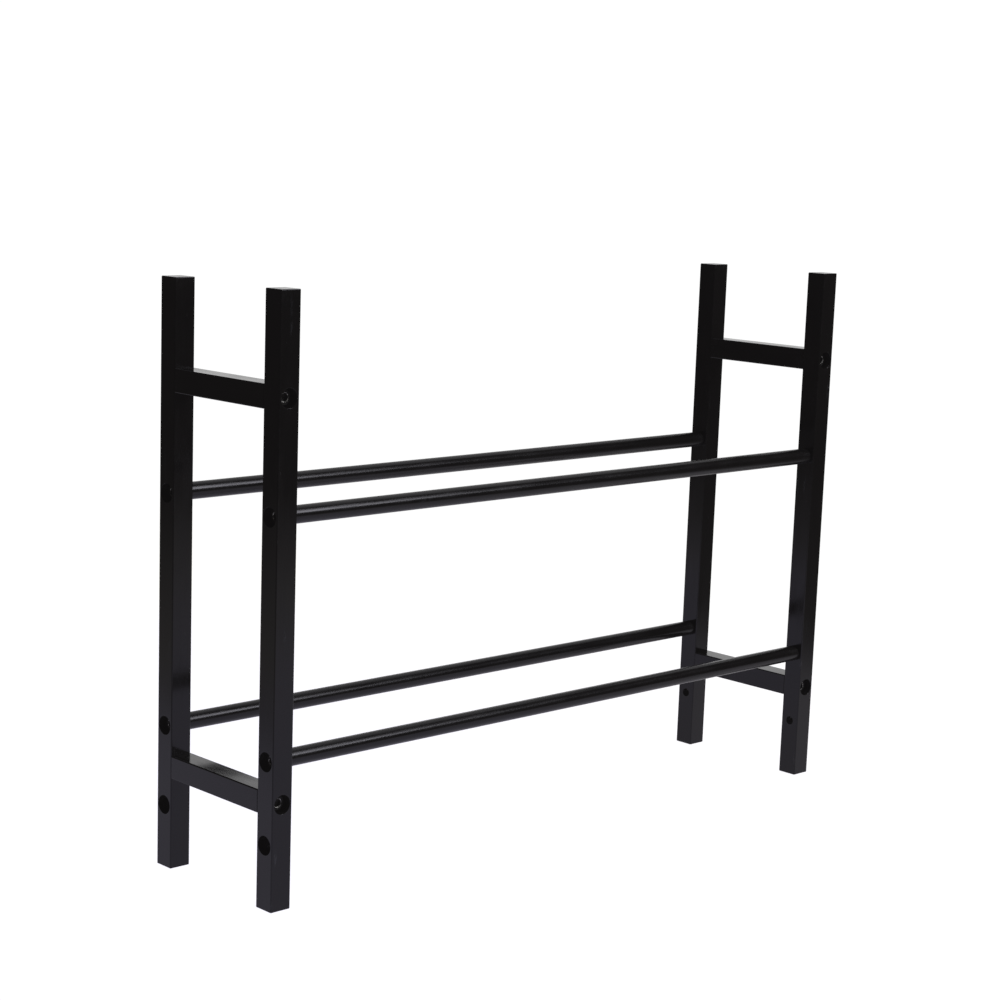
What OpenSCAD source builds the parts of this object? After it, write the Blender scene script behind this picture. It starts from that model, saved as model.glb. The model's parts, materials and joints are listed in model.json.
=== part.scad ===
// Model-scale tyre storage rack.
// Two end frames of square bar are tied together by four round rods, in two pairs.
// Tyres and wheels stand on edge across a pair of rods. Every joint is one socket
// head screw, sunk in a counterbore of a post and driven into the end of a rod or
// a crossbar. +X runs along the rods to the right, +Y to the rear and +Z up, and
// the origin is on the ground under the middle of the rack.

/* [Rack] */
// Length over the outer faces of the left and right posts
rack_length = 275; // [160:5:600]
// Depth over the outer faces of the front and rear posts
rack_depth = 64; // [56:1:160]
// Height of the posts
post_height = 202; // [190:1:400]

/* [Square bar] */
// Side of the square bar that the posts and crossbars are cut from
bar_size = 8; // [8:0.5:12]
// Chamfer along the edges of the bar
bar_chamfer = 0.4; // [0.1:0.1:0.6]

/* [Rods] */
// Diameter of the four round rods
rod_d = 6; // [5:0.5:8]
// Chamfer on the ends of the rods
rod_chamfer = 0.3; // [0.1:0.1:0.6]

/* [Levels above the ground] */
// Spare rod hole near the foot of each post
spare_hole_z = 22; // [12:1:24]
// Middle of the lower crossbars
lower_crossbar_z = 36; // [34:1:37]
// Middle of the lower pair of rods
lower_rod_z = 50; // [49:1:80]
// Middle of the upper pair of rods
upper_rod_z = 130; // [95:1:150]
// Middle of the upper crossbars
upper_crossbar_z = 168; // [160:1:180]

/* [Screws] */
// Thread diameter of the socket head screws
thread_d = 3; // [2.5:0.1:3]
// Length under the head
screw_length = 12; // [8:1:16]
// Diameter of the head
head_d = 5.5; // [4.5:0.1:5.6]
// Height of the head
head_h = 3; // [2.2:0.1:3]
// Width across the flats of the hex socket
socket_af = 2.5; // [2:0.1:2.8]
// Depth of the hex socket
socket_depth = 1.5; // [1:0.1:1.8]

/* [Holes] */
// Diameter of the counterbores that take the screw heads
counterbore_d = 6.4; // [6:0.1:6.8]
// Depth of the counterbores
counterbore_depth = 5.5; // [3:0.5:6]
// Diameter of the clearance hole behind each counterbore
clearance_d = 3.2; // [3.1:0.1:3.6]

/* [Hidden] */
$fn = 64;
ENDS = ["left", "right"];
SIDES = ["front", "rear"];
LEVELS = ["lower", "upper"];

// Distance of each post's axis from the middle of the rack, along X and Y
post_x = (rack_length - bar_size) / 2;
post_y = (rack_depth - bar_size) / 2;
// Clear length between the posts, which is the length of the rods and crossbars
rod_length = rack_length - 2 * bar_size;
crossbar_length = rack_depth - 2 * bar_size;
// Wall left under each screw head, and how far the thread goes on past it
wall = bar_size - counterbore_depth;
tapped_depth = screw_length - wall + 2;
// The shank is drawn a little thinner than the tapped hole, with no thread on either
shank_d = thread_d - 0.1;
// Chamfer on the screw's head and tip
screw_chamfer = 0.3;
// How far a cutter passes through a face
overcut = 1;

bar_colour = "#15161a";
rod_colour = "#1c1d21";
screw_colour = "#26262a";

function rod_z(level) = level == "lower" ? lower_rod_z : upper_rod_z;
function crossbar_z(level) = level == "lower" ? lower_crossbar_z : upper_crossbar_z;

// Puts what is drawn for the left front corner at any of the four corners
module at_corner(end, side) {
    mirror([end == "right" ? 1 : 0, 0, 0])
        mirror([0, side == "rear" ? 1 : 0, 0])
            children();
}

// Square bar with chamfered edges, standing on the ground plane
module square_bar(length) {
    flat = bar_size / 2 - bar_chamfer;
    full = bar_size / 2;
    linear_extrude(length)
        polygon([
            [-flat, -full], [flat, -full], [full, -flat], [full, flat],
            [flat, full], [-flat, full], [-full, flat], [-full, -flat]
        ]);
}

// Cutter for a counterbored hole: it starts at the bar's face, which is the plane
// z = 0, and goes down through the bar
module screw_hole() {
    translate([0, 0, -counterbore_depth])
        cylinder(d = counterbore_d, h = counterbore_depth + overcut);
    translate([0, 0, -bar_size - overcut])
        cylinder(d = clearance_d, h = bar_size + overcut);
}

// Cutter for the tapped hole in the end of a rod or crossbar, going down from z = 0
module tapped_hole() {
    translate([0, 0, -tapped_depth])
        cylinder(d = thread_d, h = tapped_depth + overcut);
}

// Left front post: three counterbored holes in its outer end face, for the two rods
// and the spare one, and two in its front face for the crossbars
module post() {
    color(bar_colour)
        translate([-post_x, -post_y, 0])
            difference() {
                square_bar(post_height);
                for (z = [spare_hole_z, lower_rod_z, upper_rod_z])
                    translate([-bar_size / 2, 0, z])
                        rotate([0, -90, 0])
                            screw_hole();
                for (z = [lower_crossbar_z, upper_crossbar_z])
                    translate([0, -bar_size / 2, z])
                        rotate([90, 0, 0])
                            screw_hole();
            }
}

// Crossbar of the left end frame, tapped at both ends
module crossbar(level) {
    color(bar_colour)
        translate([-post_x, 0, crossbar_z(level)])
            rotate([90, 0, 0])
                translate([0, 0, -crossbar_length / 2])
                    difference() {
                        square_bar(crossbar_length);
                        translate([0, 0, crossbar_length])
                            tapped_hole();
                        mirror([0, 0, 1])
                            tapped_hole();
                    }
}

// Round rod of the front pair, tapped at both ends
module rod(level) {
    radius = rod_d / 2;
    color(rod_colour)
        translate([-rod_length / 2, -post_y, rod_z(level)])
            rotate([0, 90, 0])
                difference() {
                    rotate_extrude()
                        polygon([
                            [0, 0], [radius - rod_chamfer, 0], [radius, rod_chamfer],
                            [radius, rod_length - rod_chamfer],
                            [radius - rod_chamfer, rod_length], [0, rod_length]
                        ]);
                    translate([0, 0, rod_length])
                        tapped_hole();
                    mirror([0, 0, 1])
                        tapped_hole();
                }
}

// Socket head screw with the underside of its head on the plane z = 0 and its
// shank pointing down
module socket_screw() {
    shank = shank_d / 2;
    head = head_d / 2;
    color(screw_colour)
        difference() {
            rotate_extrude()
                polygon([
                    [0, -screw_length], [shank - screw_chamfer, -screw_length],
                    [shank, screw_chamfer - screw_length], [shank, 0], [head, 0],
                    [head, head_h - screw_chamfer], [head - screw_chamfer, head_h], [0, head_h]
                ]);
            translate([0, 0, head_h - socket_depth])
                cylinder(d = socket_af / cos(30), h = socket_depth + overcut, $fn = 6);
        }
}

// Screw through the left front post into a front rod
module rod_screw(level) {
    translate([-post_x - bar_size / 2 + counterbore_depth, -post_y, rod_z(level)])
        rotate([0, -90, 0])
            socket_screw();
}

// Screw through the left front post into a left crossbar
module crossbar_screw(level) {
    translate([-post_x, -post_y - bar_size / 2 + counterbore_depth, crossbar_z(level)])
        rotate([90, 0, 0])
            socket_screw();
}

for (end = ENDS, side = SIDES)
    at_corner(end, side) post();

for (end = ENDS, level = LEVELS)
    at_corner(end, "front") crossbar(level);

for (side = SIDES, level = LEVELS)
    at_corner("left", side) rod(level);

for (end = ENDS, side = SIDES, level = LEVELS)
    at_corner(end, side) rod_screw(level);

for (end = ENDS, side = SIDES, level = LEVELS)
    at_corner(end, side) crossbar_screw(level);
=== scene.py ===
import json
import math
import random

import bpy
from mathutils import Matrix, Quaternion, Vector


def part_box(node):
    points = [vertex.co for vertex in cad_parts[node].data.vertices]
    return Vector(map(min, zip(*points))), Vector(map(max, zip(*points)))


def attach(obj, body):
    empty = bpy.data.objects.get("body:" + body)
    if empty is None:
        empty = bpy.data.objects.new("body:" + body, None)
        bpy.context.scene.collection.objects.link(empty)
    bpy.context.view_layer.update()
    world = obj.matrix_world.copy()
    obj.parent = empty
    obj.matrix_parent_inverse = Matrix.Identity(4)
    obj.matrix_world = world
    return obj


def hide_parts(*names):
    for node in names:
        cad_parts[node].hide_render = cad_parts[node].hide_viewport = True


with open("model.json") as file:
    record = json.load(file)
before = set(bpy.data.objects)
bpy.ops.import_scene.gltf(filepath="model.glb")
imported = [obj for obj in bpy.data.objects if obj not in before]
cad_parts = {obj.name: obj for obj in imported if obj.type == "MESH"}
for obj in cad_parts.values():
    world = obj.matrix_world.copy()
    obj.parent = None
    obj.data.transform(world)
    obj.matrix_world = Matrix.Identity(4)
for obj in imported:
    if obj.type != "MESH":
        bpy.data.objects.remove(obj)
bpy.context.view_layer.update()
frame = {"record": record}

# The looks of a model-scale tyre storage rack. Each CAD node is replaced, in the same place, by
# a finely modelled piece: posts and crossbars of square bar, round rods, and the socket head
# screws that join them. Lengths are in metres, in the CAD frame: +X along the rods, +Z up.

MM = 0.001
TAU = math.tau
X = Vector((1, 0, 0))
Y = Vector((0, 1, 0))
Z = Vector((0, 0, 1))

ENDS = {"left": -X, "right": X}
SIDES = {"front": -Y, "rear": Y}
LEVELS = ("lower", "upper")

# Square bar: rounding along its four edges and round its sawn and deburred ends
BAR_ROUNDING = 0.4 * MM
BAR_END_ROUNDING = 0.3 * MM
# Small chamfer round the mouth of every hole, and the fillet at the foot of a counterbore
RIM = 0.12 * MM
# Rods: chamfer on the ends
ROD_CHAMFER = 0.3 * MM
# Tapped hole in the end of a rod or crossbar
TAPPED_RADIUS = 1.5 * MM
TAPPED_DEPTH = 11.5 * MM
DRILL_POINT = math.radians(59)
# Head of a socket head screw: the knurled band round it, and the plain crown above the band
HEAD_HEIGHT = 3 * MM
KNURL_DEPTH = 0.08 * MM
KNURL_START = 0.2 * MM
KNURL_END = HEAD_HEIGHT - 0.45 * MM
CROWN_START = HEAD_HEIGHT - 0.3 * MM
# Hexagon socket, and the depth of the shallow point in its floor
SOCKET_FLATS = 2.5 * MM
SOCKET_DEPTH = 1.5 * MM
SOCKET_POINT = 0.3 * MM
SOCKET_MOUTH_RADIUS = SOCKET_FLATS / 2 / math.cos(TAU / 12) + RIM
# Thread and tip of the screw. A turn of the thread starts and ends its crest, and then its root,
# at these shares of the pitch.
THREAD_PITCH = 0.5 * MM
THREAD_PHASES = (0, 0.125, 0.4375, 0.6875)
THREAD_RADIUS = 1.46 * MM
THREAD_ROOT_RADIUS = 1.18 * MM
SHANK_RADIUS = 1.45 * MM
TIP_RADIUS = 1.1 * MM

# Counterbored holes in the posts
COUNTERBORE_RADIUS = 3.2 * MM
CLEARANCE_RADIUS = 1.6 * MM

# How finely round shapes are divided
RING = 64
COLUMNS = RING // 4
ROUND_STEPS = 4
ROD_STEPS = 24
HEAD_RING = 72
THREAD_RING = 24
FLOOR_RING = 96
# Every ring starts at this angle, so that it lines up with the corners of a square
RING_START = -0.375 * TAU
# Longest step between rings along a bar
BAR_STEP = 6 * MM
# Points closer than this are one vertex
WELD = 0.0001 * MM

# How far wear reaches in from the end of a piece, and out from the mouth of a hole
END_WEAR = 1.5 * MM
MOUTH_WEAR = 0.6 * MM
# Cool tint of what the gloss black bars and rods reflect
GLOSS_TINT = (0.90, 0.89, 1.0, 1)

# Camera: where it aims, how it stands round that point in metres and degrees, and how far its
# lens is shifted, as a share of the picture
CAMERA_TARGET = (-0.0154, 0.0150, 0.1039)
CAMERA_DISTANCE = 0.8198
CAMERA_AZIMUTH = -42.83
CAMERA_ELEVATION = 10.30
CAMERA_ROLL = 1.83
CAMERA_LENS = 80.15
CAMERA_SHIFT = 0.04
# Floor and room, with brightness on the scale where white paper is 1. The floor is a sheet of
# translucent white over a white ground, and its glow is a painted pool of light.
FLOOR_RADIUS = 1.0
FLOOR_OPACITY = 0.46
FLOOR_PAINTED_GLOW = 1.0
GROUND_BRIGHTNESS = 1.03
ROOM_BRIGHTNESS = 0.03
# Stray light in the lens, which lifts the black parts of the picture
VEIL = (0.0045, 0.0041, 0.0043)

# The one source of random numbers, seeded so that every run makes the same model
chance = random.Random(11)


class Shape:
    """A mesh in the making, with its own z along the piece.

    Points that meet become one vertex, and a face that shrinks to a line is left out, so rings
    may close to a point or share an edge. A corner is a point and its normal, or None for the
    normal of the face itself."""

    def __init__(self):
        self.points = []
        self.faces = []
        self.normals = []
        self.known = {}

    def vertex(self, point):
        key = tuple(round(c / WELD) for c in point)
        if key not in self.known:
            self.known[key] = len(self.points)
            self.points.append(point)
        return self.known[key]

    def face(self, corners, place):
        turn = place.to_3x3()
        kept = {}
        for point, normal in corners:
            kept.setdefault(self.vertex(place @ point), normal)
        if len(kept) < 3:
            return
        if None in kept.values():
            flat = face_normal([self.points[i] for i in kept])
            kept = dict.fromkeys(kept, flat)
            turn = Matrix.Identity(3)
        self.faces.append(list(kept))
        self.normals.extend(turn @ normal for normal in kept.values())

    def skin(self, rings, place=Matrix.Identity(4)):
        """Faces between each ring and the next, which may have more points in it."""
        for low, high in zip(rings, rings[1:]):
            step = len(high) // len(low)
            for i in range(len(low)):
                upper = [high[(step * i + k) % len(high)] for k in range(step, -1, -1)]
                self.face([low[i], low[(i + 1) % len(low)], *upper], place)


def face_normal(points):
    """Normal of a polygon that may be slightly bent."""
    total = Vector()
    for here, after in zip(points, points[1:] + points[:1]):
        total += here.cross(after)
    return total.normalized()


def around(angle):
    return Vector((math.cos(angle), math.sin(angle), 0))


def ring_angles(count):
    return [RING_START + TAU * i / count for i in range(count)]


def turned(profile, count=RING):
    """Rings of a turned surface. A profile entry is a radius, a height and the direction it
    faces, in degrees from straight out towards straight up."""
    rings = []
    for radius, height, facing in profile:
        tilt = math.radians(facing)
        rings.append([
            (around(a) * radius + Z * height, around(a) * math.cos(tilt) + Z * math.sin(tilt))
            for a in ring_angles(count)
        ])
    return rings


def square_ring(half):
    """Points evenly spaced round a square that faces up, from its near left corner."""
    ring = []
    for i in range(RING):
        along = 2 * (i % COLUMNS) / COLUMNS - 1
        x, y = ((along, -1), (1, along), (-along, 1), (-1, -along))[i // COLUMNS]
        ring.append((Vector((x * half, y * half, 0)), Z))
    return ring


def halfway(ring, other):
    return [((a + b) / 2, normal) for (a, normal), (b, _) in zip(ring, other)]


def square_with_hole(half, profile):
    """Rings from the outline of a square face in to a hole and down its turned wall."""
    outline = square_ring(half)
    hole = turned(profile)
    return [outline, halfway(outline, hole[0]), *hole]


def add_plain_square(shape, half, place):
    """Square face with the same points round its outline as square_ring has."""
    at = [half * (2 * i / COLUMNS - 1) for i in range(COLUMNS + 1)]
    for x0, x1 in zip(at, at[1:]):
        for y0, y1 in zip(at, at[1:]):
            corners = [(x0, y0), (x1, y0), (x1, y1), (x0, y1)]
            shape.face([(Vector((x, y, 0)), Z) for x, y in corners], place)


# The holes, from the face of the metal inwards

def counterbored_hole(bore_radius, bore_depth, hole_radius, thickness):
    """Counterbore for a screw head, and the clearance hole that goes on through the bar."""
    return [
        (bore_radius + RIM, 0, 90),
        (bore_radius, -RIM, 180),
        (bore_radius, RIM - bore_depth, 180),
        (bore_radius - RIM, -bore_depth, 90),
        (hole_radius + RIM, -bore_depth, 90),
        (hole_radius, -bore_depth - RIM, 180),
        (hole_radius, RIM - thickness, 180),
        (hole_radius + RIM, -thickness, 270),
    ]


def tapped_hole():
    """Blind hole that ends in the cone of a drill's point."""
    cone = TAPPED_RADIUS / math.tan(DRILL_POINT)
    cone_facing = 180 - math.degrees(DRILL_POINT)
    return [
        (TAPPED_RADIUS + RIM, 0, 90),
        (TAPPED_RADIUS, -RIM, 180),
        (TAPPED_RADIUS, cone - TAPPED_DEPTH, 180),
        (TAPPED_RADIUS, cone - TAPPED_DEPTH, cone_facing),
        (0, -TAPPED_DEPTH, cone_facing),
    ]


# Square bar

QUARTER_TURNS = (X, Y, -X, -Y)


def bar_outline(flat):
    """Starting points and directions round the bar. A point of its surface lies one rounding
    out from a starting point, so a smaller rounding gives the outline drawn in all round."""
    outline = []
    for k, out in enumerate(QUARTER_TURNS):
        side = QUARTER_TURNS[(k + 1) % 4]
        for i in range(COLUMNS):
            outline.append((out * flat + side * flat * (2 * i / COLUMNS - 1), out))
        for i in range(ROUND_STEPS):
            a = TAU / 4 * i / ROUND_STEPS
            outline.append((out * flat + side * flat, out * math.cos(a) + side * math.sin(a)))
    return outline


def bar_rows(length, flat, hole_heights):
    """Height, inset and upward tilt of each ring of points along the bar, from the foot up."""
    quarter = [TAU / 4 * i / ROUND_STEPS for i in range(ROUND_STEPS + 1)]
    rounded = [
        (BAR_END_ROUNDING * (1 - math.sin(a)), BAR_END_ROUNDING * (1 - math.cos(a)), a)
        for a in quarter
    ]
    foot = [(height, inset, -a) for height, inset, a in reversed(rounded)]
    top = [(length - height, inset, a) for height, inset, a in rounded]
    heights = [BAR_END_ROUNDING, length - BAR_END_ROUNDING]
    for centre in hole_heights:
        heights += [centre + flat * (2 * i / COLUMNS - 1) for i in range(COLUMNS + 1)]
    heights = with_short_steps(sorted(heights))
    return foot + [(height, 0, 0) for height in heights[1:-1]] + top


def with_short_steps(heights):
    """The same heights, with more of them evenly spaced wherever two are far apart."""
    filled = []
    for low, high in zip(heights, heights[1:]):
        parts = math.ceil((high - low) / BAR_STEP)
        filled += [low + (high - low) * i / parts for i in range(parts)]
    return filled + heights[-1:]


def bar_ring(outline, row):
    height, inset, tilt = row
    return [
        (
            base + out * (BAR_ROUNDING - inset) + Z * height,
            out * math.cos(tilt) + Z * math.sin(tilt),
        )
        for base, out in outline
    ]


def on_bar_face(k, half, height):
    """Axes on face k of the bar, with z straight out of it and y up the bar."""
    out = QUARTER_TURNS[k]
    side = QUARTER_TURNS[(k + 1) % 4]
    place = Matrix((side, Z, out)).transposed().to_4x4()
    place.translation = out * half + Z * height
    return place


def square_bar(length, width, holes=(), hole_profile=None, end_profile=None):
    """Square bar standing on its end. holes are (face, height) pairs, each bored through to the
    opposite face, and end_profile is the hole in both ends."""
    shape = Shape()
    half = width / 2
    flat = half - BAR_ROUNDING
    outline = bar_outline(flat)
    rows = bar_rows(length, flat, [height for _, height in holes])
    rings = [bar_ring(outline, row) for row in rows]

    def is_bored(column, low, high):
        face, step = divmod(column, COLUMNS + ROUND_STEPS)
        middle = (low + high) / 2
        return step < COLUMNS and any(
            face % 2 == k % 2 and abs(middle - height) < flat for k, height in holes
        )

    for (low, row_low), (high, row_high) in zip(zip(rings, rows), zip(rings[1:], rows[1:])):
        for i in range(len(outline)):
            j = (i + 1) % len(outline)
            if not is_bored(i, row_low[0], row_high[0]):
                shape.face([low[i], low[j], high[j], high[i]], Matrix.Identity(4))
    for k, height in holes:
        shape.skin(square_with_hole(flat, hole_profile), on_bar_face(k, half, height))
        outlet = [(hole_profile[-1][0], 0, 90)]
        shape.skin(square_with_hole(flat, outlet), on_bar_face((k + 2) % 4, half, height))
    add_bar_ends(shape, outline, rings, length, flat, end_profile)
    return shape


def add_bar_ends(shape, outline, rings, length, flat, end_profile):
    """Closes both ends: a rim in from the rounding, then a square face, plain or bored."""
    foot = [(base, -Z) for base, _ in outline]
    top = [(base + Z * length, Z) for base, _ in outline]
    shape.skin([foot, rings[0]])
    shape.skin([rings[-1], top])
    for place in (Matrix.Rotation(TAU / 2, 4, "X"), Matrix.Translation(Z * length)):
        if end_profile:
            shape.skin(square_with_hole(flat, end_profile), place)
        else:
            add_plain_square(shape, flat, place)


# Round rod

def round_rod(length, radius):
    """Rod standing on its end, chamfered and tapped at both ends."""
    end = [
        (radius, -ROD_CHAMFER, 0),
        (radius, -ROD_CHAMFER, 45),
        (radius - ROD_CHAMFER, 0, 45),
        (radius - ROD_CHAMFER, 0, 90),
        *tapped_hole(),
    ]
    foot = [(r, -height, -facing) for r, height, facing in reversed(end)]
    body = [(radius, length * i / ROD_STEPS, 0) for i in range(1, ROD_STEPS)]
    top = [(r, length + height, facing) for r, height, facing in end]
    shape = Shape()
    shape.skin(turned(foot + body + top))
    return shape


# Socket head screw, with the underside of its head at z = 0

def hexagon_ring(flats, height):
    ring = []
    for a in ring_angles(HEAD_RING):
        off_flat = a % (TAU / 6) - TAU / 12
        ring.append((around(a) * flats / 2 / math.cos(off_flat) + Z * height, None))
    return ring


def knurl_ring(radius, height):
    ring = []
    for i, a in enumerate(ring_angles(HEAD_RING)):
        ring.append((around(a) * (radius - KNURL_DEPTH * (i % 2)) + Z * height, None))
    return ring


def crown_radius(head_radius):
    """Radius of the plain parts of the head, a little inside the knurling."""
    return head_radius - 2 * KNURL_DEPTH


def add_head(shape, radius):
    """Knurled head with a rounded top edge and a hexagon socket."""
    crown = crown_radius(radius)
    floor = HEAD_HEIGHT - SOCKET_DEPTH
    shape.skin([
        turned([(crown, 0, -45)], HEAD_RING)[0],
        knurl_ring(radius, KNURL_START),
        knurl_ring(radius, KNURL_END),
        turned([(crown, CROWN_START, 0)], HEAD_RING)[0],
    ])
    shape.skin(turned([
        (crown, CROWN_START, 0),
        (crown - 0.06 * MM, HEAD_HEIGHT - 0.13 * MM, 40),
        (crown - 0.2 * MM, HEAD_HEIGHT, 90),
        (SOCKET_MOUTH_RADIUS + RIM, HEAD_HEIGHT, 90),
        (SOCKET_MOUTH_RADIUS, HEAD_HEIGHT, 90),
    ], HEAD_RING))
    shape.skin([
        turned([(SOCKET_MOUTH_RADIUS, HEAD_HEIGHT, 90)], HEAD_RING)[0],
        hexagon_ring(SOCKET_FLATS, HEAD_HEIGHT - RIM),
        hexagon_ring(SOCKET_FLATS, floor + SOCKET_POINT),
        hexagon_ring(0, floor),
    ])


def thread_point(row, angle, length):
    """Point of the thread: rows climb the helix, and run into plain rings at both ends."""
    phase = THREAD_PHASES[row % 4] + row // 4
    height = -length - THREAD_PITCH + THREAD_PITCH * (phase + angle / TAU)
    height = min(max(height, -length), 0)
    radius = THREAD_RADIUS if row % 4 < 2 else THREAD_ROOT_RADIUS
    radius = min(radius, TIP_RADIUS + height + length)
    run_out = min(max(1 + height / THREAD_PITCH, 0), 1)
    return around(angle) * (radius + (SHANK_RADIUS - radius) * run_out) + Z * height


def add_shank(shape, length, head_radius):
    """Threaded shank, its flat tip, and the underside of the head round it."""
    rows = 4 * (round(length / THREAD_PITCH) + 3)
    steps = [TAU * i / THREAD_RING for i in range(THREAD_RING + 1)]
    grid = [[thread_point(row, a, length) for a in steps] for row in range(rows)]
    for low, high in zip(grid, grid[1:]):
        for i in range(THREAD_RING):
            corners = [low[i], low[i + 1], high[i + 1], high[i]]
            shape.face([(point, None) for point in corners], Matrix.Identity(4))
    tip = turned([(0, -length, -90), (TIP_RADIUS, -length, -90)], THREAD_RING)
    under = turned([(SHANK_RADIUS, 0, -90)], THREAD_RING)
    edge = turned([(crown_radius(head_radius), 0, -90)], HEAD_RING)
    shape.skin(tip)
    shape.skin(under + edge)


def socket_screw(length, head_radius):
    shape = Shape()
    add_shank(shape, length, head_radius)
    add_head(shape, head_radius)
    return shape


# How much each spot gets rubbed in use, from 0 to 1: ends, edges and the mouths of holes

def closeness(distance, within):
    return max(0, 1 - abs(distance) / within)


def bar_rubbing(point, length, width, holes):
    flat = width / 2 - BAR_ROUNDING
    rub = 0.6 * closeness(min(point.z, length - point.z), END_WEAR)
    if min(abs(point.x), abs(point.y)) > flat - WELD:
        rub = max(rub, 0.2)
    for k, height in holes:
        out = QUARTER_TURNS[k]
        side = QUARTER_TURNS[(k + 1) % 4]
        if abs(point.dot(out)) > width / 2 - BAR_ROUNDING:
            radius = COUNTERBORE_RADIUS if point.dot(out) > 0 else CLEARANCE_RADIUS
            rim = math.hypot(point.dot(side), point.z - height) - radius
            rub = max(rub, 0.7 * closeness(rim, MOUTH_WEAR))
    return rub


def rod_rubbing(point, length):
    return 0.5 * closeness(min(point.z, length - point.z), END_WEAR)


def screw_rubbing(point, head_radius):
    """Worn round the top edge of the head and round the mouth of the socket."""
    radius = math.hypot(point.x, point.y)
    edge = closeness(radius - crown_radius(head_radius), 0.3 * MM)
    mouth = closeness(radius - SOCKET_MOUTH_RADIUS + RIM, 2.5 * RIM)
    return max(0.6 * edge, mouth) * closeness(HEAD_HEIGHT - point.z, 0.4 * MM)


# Materials. Patterns are drawn in the grain attribute, which holds each piece's own
# coordinates in millimetres with z along it, moved by a different amount for every piece.

class Graph:
    """A material's nodes, with short ways to add them and join them up."""

    def __init__(self, name):
        self.material = bpy.data.materials.new(name)
        self.material.use_nodes = True
        self.tree = self.material.node_tree
        self.tree.nodes.clear()

    def node(self, kind, inputs, **settings):
        made = self.tree.nodes.new("ShaderNode" + kind)
        for key, value in settings.items():
            setattr(made, key, value)
        for key, value in inputs.items():
            if isinstance(value, bpy.types.NodeSocket):
                self.tree.links.new(value, made.inputs[key])
            else:
                made.inputs[key].default_value = value
        return made

    def attribute(self, name, output):
        return self.node("Attribute", {}, attribute_name=name).outputs[output]

    def scaled(self, vector, scale):
        return self.node("VectorMath", {0: vector, 1: scale}, operation="MULTIPLY").outputs[0]

    def tilted(self, vector, angles):
        return self.node("VectorRotate", {"Vector": vector, "Rotation": angles},
                         rotation_type="EULER_XYZ").outputs[0]

    def noise(self, vector, detail=2.0, roughness=0.5):
        inputs = {"Vector": vector, "Scale": 1.0, "Detail": detail, "Roughness": roughness}
        return self.node("TexNoise", inputs).outputs["Fac"]

    def cells(self, vector):
        """Distance from the middle of each cell, and a random value for the cell."""
        made = self.node("TexVoronoi", {"Vector": vector, "Scale": 1.0})
        return made.outputs["Distance"], made.outputs["Color"]

    def step(self, value, start, end, low=0.0, high=1.0):
        """low where value is at start or before it, high at end or after it."""
        inputs = {"Value": value, "From Min": start, "From Max": end, "To Min": low, "To Max": high}
        made = self.node("MapRange", inputs, interpolation_type="SMOOTHSTEP")
        return made.outputs["Result"]

    def maths(self, operation, a, b):
        return self.node("Math", {0: a, 1: b}, operation=operation).outputs[0]

    def blend(self, share, a, b):
        """Colour a where share is 0 and b where it is 1."""
        made = self.node("Mix", {0: share, 6: a, 7: b}, data_type="RGBA")
        return made.outputs[2]

    def finish(self, colour, roughness, height, depth, others):
        """Ends the material. others holds the shader's other inputs, by name."""
        bump = self.node("Bump", {"Height": height, "Distance": depth})
        inputs = {"Base Color": colour, "Roughness": roughness, "Normal": bump.outputs[0]}
        shader = self.node("BsdfPrincipled", inputs | others)
        self.node("OutputMaterial", {"Surface": shader.outputs[0]})
        return self.material


def scratches(graph, grain, angles, share):
    """Hairline scratches a few millimetres long, in the given share of the cells."""
    along = graph.scaled(graph.tilted(grain, angles), (1.6, 1.6, 0.11))
    distance, odds = graph.cells(along)
    line = graph.step(distance, 0.11, 0.03)
    return graph.maths("MULTIPLY", line, graph.step(odds, 1 - share, 1 - share + 0.05))


def scuffs(graph, grain):
    """Pale streaks a few millimetres long where something has rubbed along the piece."""
    distance, odds = graph.cells(graph.scaled(grain, (0.32, 0.32, 0.06)))
    streak = graph.maths("MULTIPLY", graph.step(distance, 0.28, 0.08), graph.step(odds, 0.72, 0.90))
    broken = graph.step(graph.noise(graph.scaled(grain, (2.2, 2.2, 0.5)), 3.0), 0.42, 0.62)
    return graph.maths("MULTIPLY", streak, broken)


def dust(graph, grain):
    """Fine specks of dust, thicker in some places than in others."""
    distance, odds = graph.cells(graph.scaled(grain, (1.3, 1.3, 1.3)))
    specks = graph.maths("MULTIPLY", graph.step(distance, 0.09, 0.05), graph.step(odds, 0.45, 0.9))
    patches = graph.step(graph.noise(graph.scaled(grain, (0.16, 0.16, 0.09))), 0.52, 0.8)
    return graph.maths("MULTIPLY", specks, patches)


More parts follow.
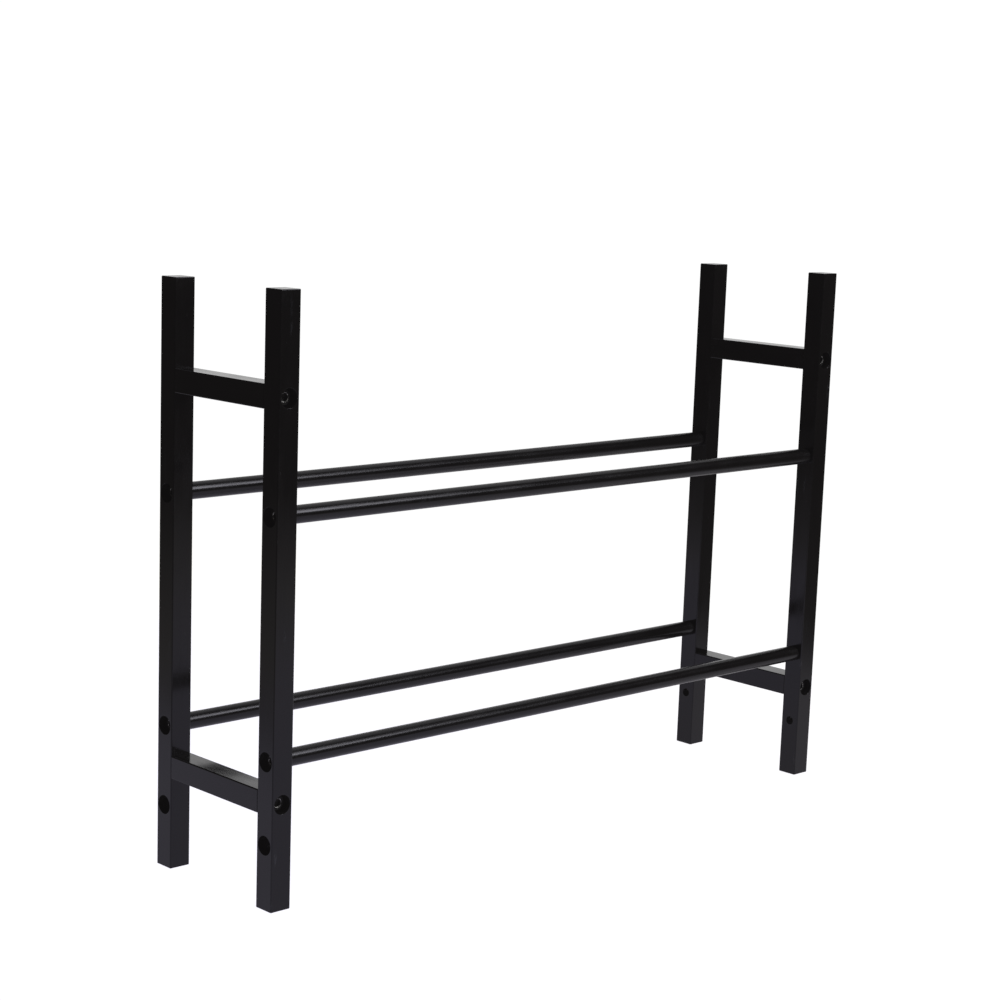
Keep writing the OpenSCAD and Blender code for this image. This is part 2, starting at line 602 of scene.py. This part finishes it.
def black_gloss(name, drawn, line_depth, shine, ior):
    """Gloss black over drawn metal: lines along the piece, hairline scratches, pale scuffs,
    smears that take off some of the shine, dust, and edges rubbed slightly paler."""
    graph = Graph(name + "_finish")
    grain = graph.attribute("grain", "Vector")
    rub = graph.attribute("rub", "Fac")
    lines = graph.noise(graph.scaled(grain, drawn), 4.0, 0.6)
    smears = graph.noise(graph.scaled(grain, (0.22, 0.22, 0.07)), 3.0, 0.55)
    mottle = graph.noise(graph.scaled(grain, (0.9, 0.9, 0.5)), 4.0, 0.6)
    marks = graph.maths(
        "MAXIMUM",
        scratches(graph, grain, (0.03, 0.05, 0.0), 0.3),
        scratches(graph, grain, (0.9, 0.5, 0.3), 0.12),
    )
    specks = dust(graph, grain)
    rubbed = graph.maths("MULTIPLY", rub, graph.step(mottle, 0.42, 0.68))
    scuffed = scuffs(graph, grain)

    colour = graph.blend(smears, (0.0024, 0.0023, 0.0024, 1), (0.0052, 0.0046, 0.0045, 1))
    colour = graph.blend(graph.maths("MULTIPLY", rubbed, 0.5), colour, (0.024, 0.023, 0.024, 1))
    colour = graph.blend(graph.maths("MULTIPLY", scuffed, 0.7), colour, (0.032, 0.032, 0.038, 1))
    colour = graph.blend(graph.maths("MULTIPLY", marks, 0.6), colour, (0.060, 0.060, 0.064, 1))
    colour = graph.blend(graph.maths("MULTIPLY", specks, 0.6), colour, (0.060, 0.058, 0.056, 1))

    roughness = graph.step(smears, 0.3, 0.75, *shine)
    roughness = graph.maths("ADD", roughness, graph.step(lines, 0.35, 0.75, 0.0, 0.05))
    roughness = graph.maths("ADD", roughness, graph.maths("MULTIPLY", rubbed, 0.10))
    roughness = graph.maths("ADD", roughness, graph.maths("MULTIPLY", scuffed, 0.15))
    roughness = graph.maths("ADD", roughness, graph.maths("MULTIPLY", marks, 0.12))
    roughness = graph.maths("ADD", roughness, graph.maths("MULTIPLY", specks, 0.25))

    height = graph.maths("MULTIPLY", lines, 0.5)
    height = graph.maths("ADD", height, graph.maths("MULTIPLY", mottle, 0.5))
    height = graph.maths("SUBTRACT", height, marks)
    height = graph.maths("ADD", height, graph.maths("MULTIPLY", specks, 3.0))
    others = {"IOR": ior, "Specular Tint": GLOSS_TINT}
    return graph.finish(colour, roughness, height, line_depth, others)


def black_bar():
    return black_gloss("black_bar", (3.2, 3.2, 0.03), 0.0015 * MM, (0.10, 0.18), 1.40)


def black_rod():
    return black_gloss("black_rod", (4.5, 4.5, 0.05), 0.0005 * MM, (0.18, 0.25), 1.40)


def black_screw():
    """Dull black oxide on steel, worn to bare metal in places round the edges."""
    graph = Graph("black_screw_finish")
    grain = graph.attribute("grain", "Vector")
    rub = graph.attribute("rub", "Fac")
    fine = graph.noise(graph.scaled(grain, (7.0, 7.0, 7.0)), 4.0, 0.65)
    blotches = graph.noise(graph.scaled(grain, (2.6, 2.6, 2.6)), 3.0, 0.5)
    worn = graph.maths("MULTIPLY", graph.step(rub, 0.35, 0.65), graph.step(blotches, 0.42, 0.60))
    colour = graph.blend(blotches, (0.003, 0.003, 0.0035, 1), (0.007, 0.0065, 0.006, 1))
    colour = graph.blend(worn, colour, (0.76, 0.75, 0.73, 1))
    roughness = graph.step(fine, 0.3, 0.7, 0.45, 0.62)
    roughness = graph.maths("SUBTRACT", roughness, graph.maths("MULTIPLY", worn, 0.15))
    others = {"Metallic": worn, "IOR": 1.35}
    return graph.finish(colour, roughness, fine, 0.004 * MM, others)


# The finish of each of the record's material slots
FINISHES = {"black_bar": black_bar(), "black_rod": black_rod(), "black_screw": black_screw()}


# The pieces

def reach(node, direction):
    """How far a CAD node's box goes out along one of the axes."""
    return max(corner.dot(direction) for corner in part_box(node))


def middle(node):
    low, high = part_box(node)
    return (low + high) / 2


def extent(node):
    low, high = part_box(node)
    return high - low


def mount_position(name):
    mounts = frame["record"]["mounts"]
    return Vector(next(m["pos_m"] for m in mounts if m["name"] == name))


def add_piece(node, shape, place, slot, rubbing):
    """Makes a shape into the visible piece that stands for a CAD node."""
    mesh = bpy.data.meshes.new(node + "_detailed")
    mesh.from_pydata([place @ point for point in shape.points], [], shape.faces)
    mesh.polygons.foreach_set("use_smooth", [True] * len(mesh.polygons))
    turn = place.to_3x3()
    mesh.normals_split_custom_set([turn @ normal for normal in shape.normals])
    shift = Vector((chance.uniform(-500, 500) for _ in range(3)))
    grain = mesh.attributes.new("grain", "FLOAT_VECTOR", "POINT")
    grain.data.foreach_set("vector", [c for p in shape.points for c in p / MM + shift])
    rub = mesh.attributes.new("rub", "FLOAT", "POINT")
    rub.data.foreach_set("value", [rubbing(point) for point in shape.points])
    mesh.materials.append(FINISHES[slot])
    piece = bpy.data.objects.new(mesh.name, mesh)
    bpy.context.scene.collection.objects.link(piece)
    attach(piece, "root")
    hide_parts(node)


def add_post(end, side):
    node = f"{end}_{side}_post"
    rod_screws = [f"{end}_{side}_{level}_rod_screw" for level in LEVELS]
    crossbar_screws = [f"{end}_{side}_{level}_crossbar_screw" for level in LEVELS]
    end_face = QUARTER_TURNS.index(ENDS[end])
    side_face = QUARTER_TURNS.index(SIDES[side])
    holes = [(end_face, mount_position(f"{end}_{side}_spare_hole").z)]
    holes += [(end_face, middle(screw).z) for screw in rod_screws]
    holes += [(side_face, middle(screw).z) for screw in crossbar_screws]

    width, _, length = extent(node)
    recess = reach(node, ENDS[end]) - reach(rod_screws[0], ENDS[end])
    profile = counterbored_hole(
        COUNTERBORE_RADIUS, recess + HEAD_HEIGHT, CLEARANCE_RADIUS, width
    )
    foot = middle(node)
    foot.z = 0
    shape = square_bar(length, width, holes, profile)
    add_piece(
        node, shape, Matrix.Translation(foot), "black_bar",
        lambda point: bar_rubbing(point, length, width, holes),
    )


def add_crossbar(end, level):
    node = f"{end}_{level}_crossbar"
    width, length, _ = extent(node)
    start = middle(node)
    start.y -= length / 2
    shape = square_bar(length, width, end_profile=tapped_hole())
    place = Matrix.Translation(start) @ Matrix.Rotation(-TAU / 4, 4, "X")
    add_piece(
        node, shape, place, "black_bar",
        lambda point: bar_rubbing(point, length, width, ()),
    )


def add_rod(side, level):
    node = f"{side}_{level}_rod"
    length, diameter, _ = extent(node)
    start = middle(node)
    start.x -= length / 2
    shape = round_rod(length, diameter / 2)
    place = Matrix.Translation(start) @ Matrix.Rotation(TAU / 4, 4, "Y")
    add_piece(node, shape, place, "black_rod", lambda point: rod_rubbing(point, length))


def add_screw(node, out, shape, head_radius):
    """Screw with its head at the outer end, turned to wherever it came tight."""
    origin = middle(node)
    origin += out * (reach(node, out) - HEAD_HEIGHT - origin.dot(out))
    turn = out.to_track_quat("Z", "Y") @ Quaternion(Z, chance.uniform(0, TAU))
    place = Matrix.Translation(origin) @ turn.to_matrix().to_4x4()
    add_piece(
        node, shape, place, "black_screw",
        lambda point: screw_rubbing(point, head_radius),
    )


def add_screws():
    length, head_diameter, _ = extent("left_front_lower_rod_screw")
    head_radius = head_diameter / 2
    shape = socket_screw(length - HEAD_HEIGHT, head_radius)
    for end, end_out in ENDS.items():
        for side, side_out in SIDES.items():
            for level in LEVELS:
                corner = f"{end}_{side}_{level}"
                add_screw(corner + "_rod_screw", end_out, shape, head_radius)
                add_screw(corner + "_crossbar_screw", side_out, shape, head_radius)


def add_rack():
    for end in ENDS:
        for side in SIDES:
            add_post(end, side)
        for level in LEVELS:
            add_crossbar(end, level)
    for side in SIDES:
        for level in LEVELS:
            add_rod(side, level)
    add_screws()


# The stage: a pale floor whose painted glow fades into a white studio, soft lights and the camera

def floor_material():
    """Pale translucent floor whose glow is painted light: a painted pool of light, bright and cool
    round the rack. It dims with distance, and painted shade dims it past both ends of the rack; it
    gets warmer with distance and to the right."""
    graph = Graph("pale_floor_painted_glow")
    place = graph.node("TexCoord", {}).outputs["Object"]
    distance = graph.node("VectorMath", {0: place}, operation="LENGTH").outputs["Value"]
    across = graph.node("SeparateXYZ", {0: place}).outputs["X"]
    # The glow shows as far as the floor is opaque, so this fade draws the painted pool of light.
    opacity = graph.step(distance, 0.20, FLOOR_RADIUS, FLOOR_OPACITY, 0.0)
    # Painted shade past both ends of the rack, deepest past the right end.
    left = graph.step(across, -0.29, -0.22, 0.5, 1.0)
    right = graph.step(across, 0.23, 0.36, 1.0, 0.12)
    opacity = graph.maths("MULTIPLY", opacity, graph.maths("MULTIPLY", left, right))
    warmth = graph.step(distance, 0.30, 0.45)
    warmth = graph.maths("MAXIMUM", warmth, graph.step(across, -0.05, 0.20, 0.0, 0.5))
    # The emission is painted light: the floor glows though it is no lamp.
    surface = graph.node("BsdfPrincipled", {
        "Base Color": (0.20, 0.20, 0.20, 1),
        "Roughness": 0.9,
        "Emission Color": graph.blend(warmth, (1.0, 0.97, 1.16, 1), (1.04, 1.0, 0.92, 1)),
        "Emission Strength": FLOOR_PAINTED_GLOW,
    })
    clear = graph.node("BsdfTransparent", {})
    mixed = graph.node("MixShader", {0: opacity, 1: clear.outputs[0], 2: surface.outputs[0]})
    graph.node("OutputMaterial", {"Surface": mixed.outputs[0]})
    return graph.material


def add_floor():
    mesh = bpy.data.meshes.new("floor")
    corners = [around(a) * FLOOR_RADIUS for a in ring_angles(FLOOR_RING)]
    mesh.from_pydata(corners, [], [range(FLOOR_RING)])
    mesh.materials.append(floor_material())
    floor = bpy.data.objects.new("floor", mesh)
    bpy.context.scene.collection.objects.link(floor)


def add_world():
    """White behind everything that the camera sees, and a dim room all round for the rest."""
    world = bpy.data.worlds.new("studio")
    world.use_nodes = True
    tree = world.node_tree
    tree.nodes.clear()
    room = tree.nodes.new("ShaderNodeBackground")
    room.inputs["Color"].default_value = (1.0, 0.88, 0.78, 1)
    room.inputs["Strength"].default_value = ROOM_BRIGHTNESS
    white = tree.nodes.new("ShaderNodeBackground")
    white.inputs["Color"].default_value = (1, 1, 1, 1)
    white.inputs["Strength"].default_value = GROUND_BRIGHTNESS
    rays = tree.nodes.new("ShaderNodeLightPath")
    mixed = tree.nodes.new("ShaderNodeMixShader")
    output = tree.nodes.new("ShaderNodeOutputWorld")
    tree.links.new(rays.outputs["Is Camera Ray"], mixed.inputs[0])
    tree.links.new(room.outputs[0], mixed.inputs[1])
    tree.links.new(white.outputs[0], mixed.inputs[2])
    tree.links.new(mixed.outputs[0], output.inputs["Surface"])
    bpy.context.scene.world = world


def add_softbox(name, position, target, width, height, brightness):
    """Rectangular light whose face is that bright, on the scale where white paper is 1."""
    lamp = bpy.data.lights.new(name, "AREA")
    lamp.shape = "RECTANGLE"
    lamp.size = width
    lamp.size_y = height
    lamp.energy = brightness * math.pi * width * height
    light = bpy.data.objects.new(name, lamp)
    light.location = position
    light.rotation_mode = "QUATERNION"
    light.rotation_quaternion = (Vector(position) - Vector(target)).to_track_quat("Z", "Y")
    light.visible_camera = False
    bpy.context.scene.collection.objects.link(light)


def add_lights():
    add_softbox("backdrop", (0.85, 0.88, 0.30), (0, 0, 0.2), 2.4, 0.7, 0.80)
    add_softbox("ceiling", (0.80, 0.45, 1.05), (0, 0, 0.1), 1.2, 0.8, 0.50)
    add_softbox("key", (0.32, -0.60, 0.66), (-0.1, 0, 0.1), 0.34, 0.52, 6.9)


def add_veil():
    """Lifts black a little, as the stray light in a real lens does."""
    settings = bpy.context.scene.view_settings
    settings.view_transform = "Standard"
    settings.use_curve_mapping = True
    settings.curve_mapping.black_level = [-level for level in VEIL]
    settings.curve_mapping.update()


def add_camera():
    azimuth = math.radians(CAMERA_AZIMUTH)
    elevation = math.radians(CAMERA_ELEVATION)
    back = Matrix.Rotation(azimuth, 3, "Z") @ Vector((0, -math.cos(elevation), math.sin(elevation)))
    data = bpy.data.cameras.new("camera")
    data.lens = CAMERA_LENS
    data.sensor_width = 36
    data.shift_x = CAMERA_SHIFT
    data.shift_y = CAMERA_SHIFT
    camera = bpy.data.objects.new("camera", data)
    camera.location = Vector(CAMERA_TARGET) + back * CAMERA_DISTANCE
    camera.rotation_mode = "QUATERNION"
    roll = Quaternion(Z, math.radians(CAMERA_ROLL))
    camera.rotation_quaternion = back.to_track_quat("Z", "Y") @ roll
    bpy.context.scene.collection.objects.link(camera)
    bpy.context.scene.camera = camera


add_camera()
add_veil()
add_world()
add_lights()
add_floor()
add_rack()
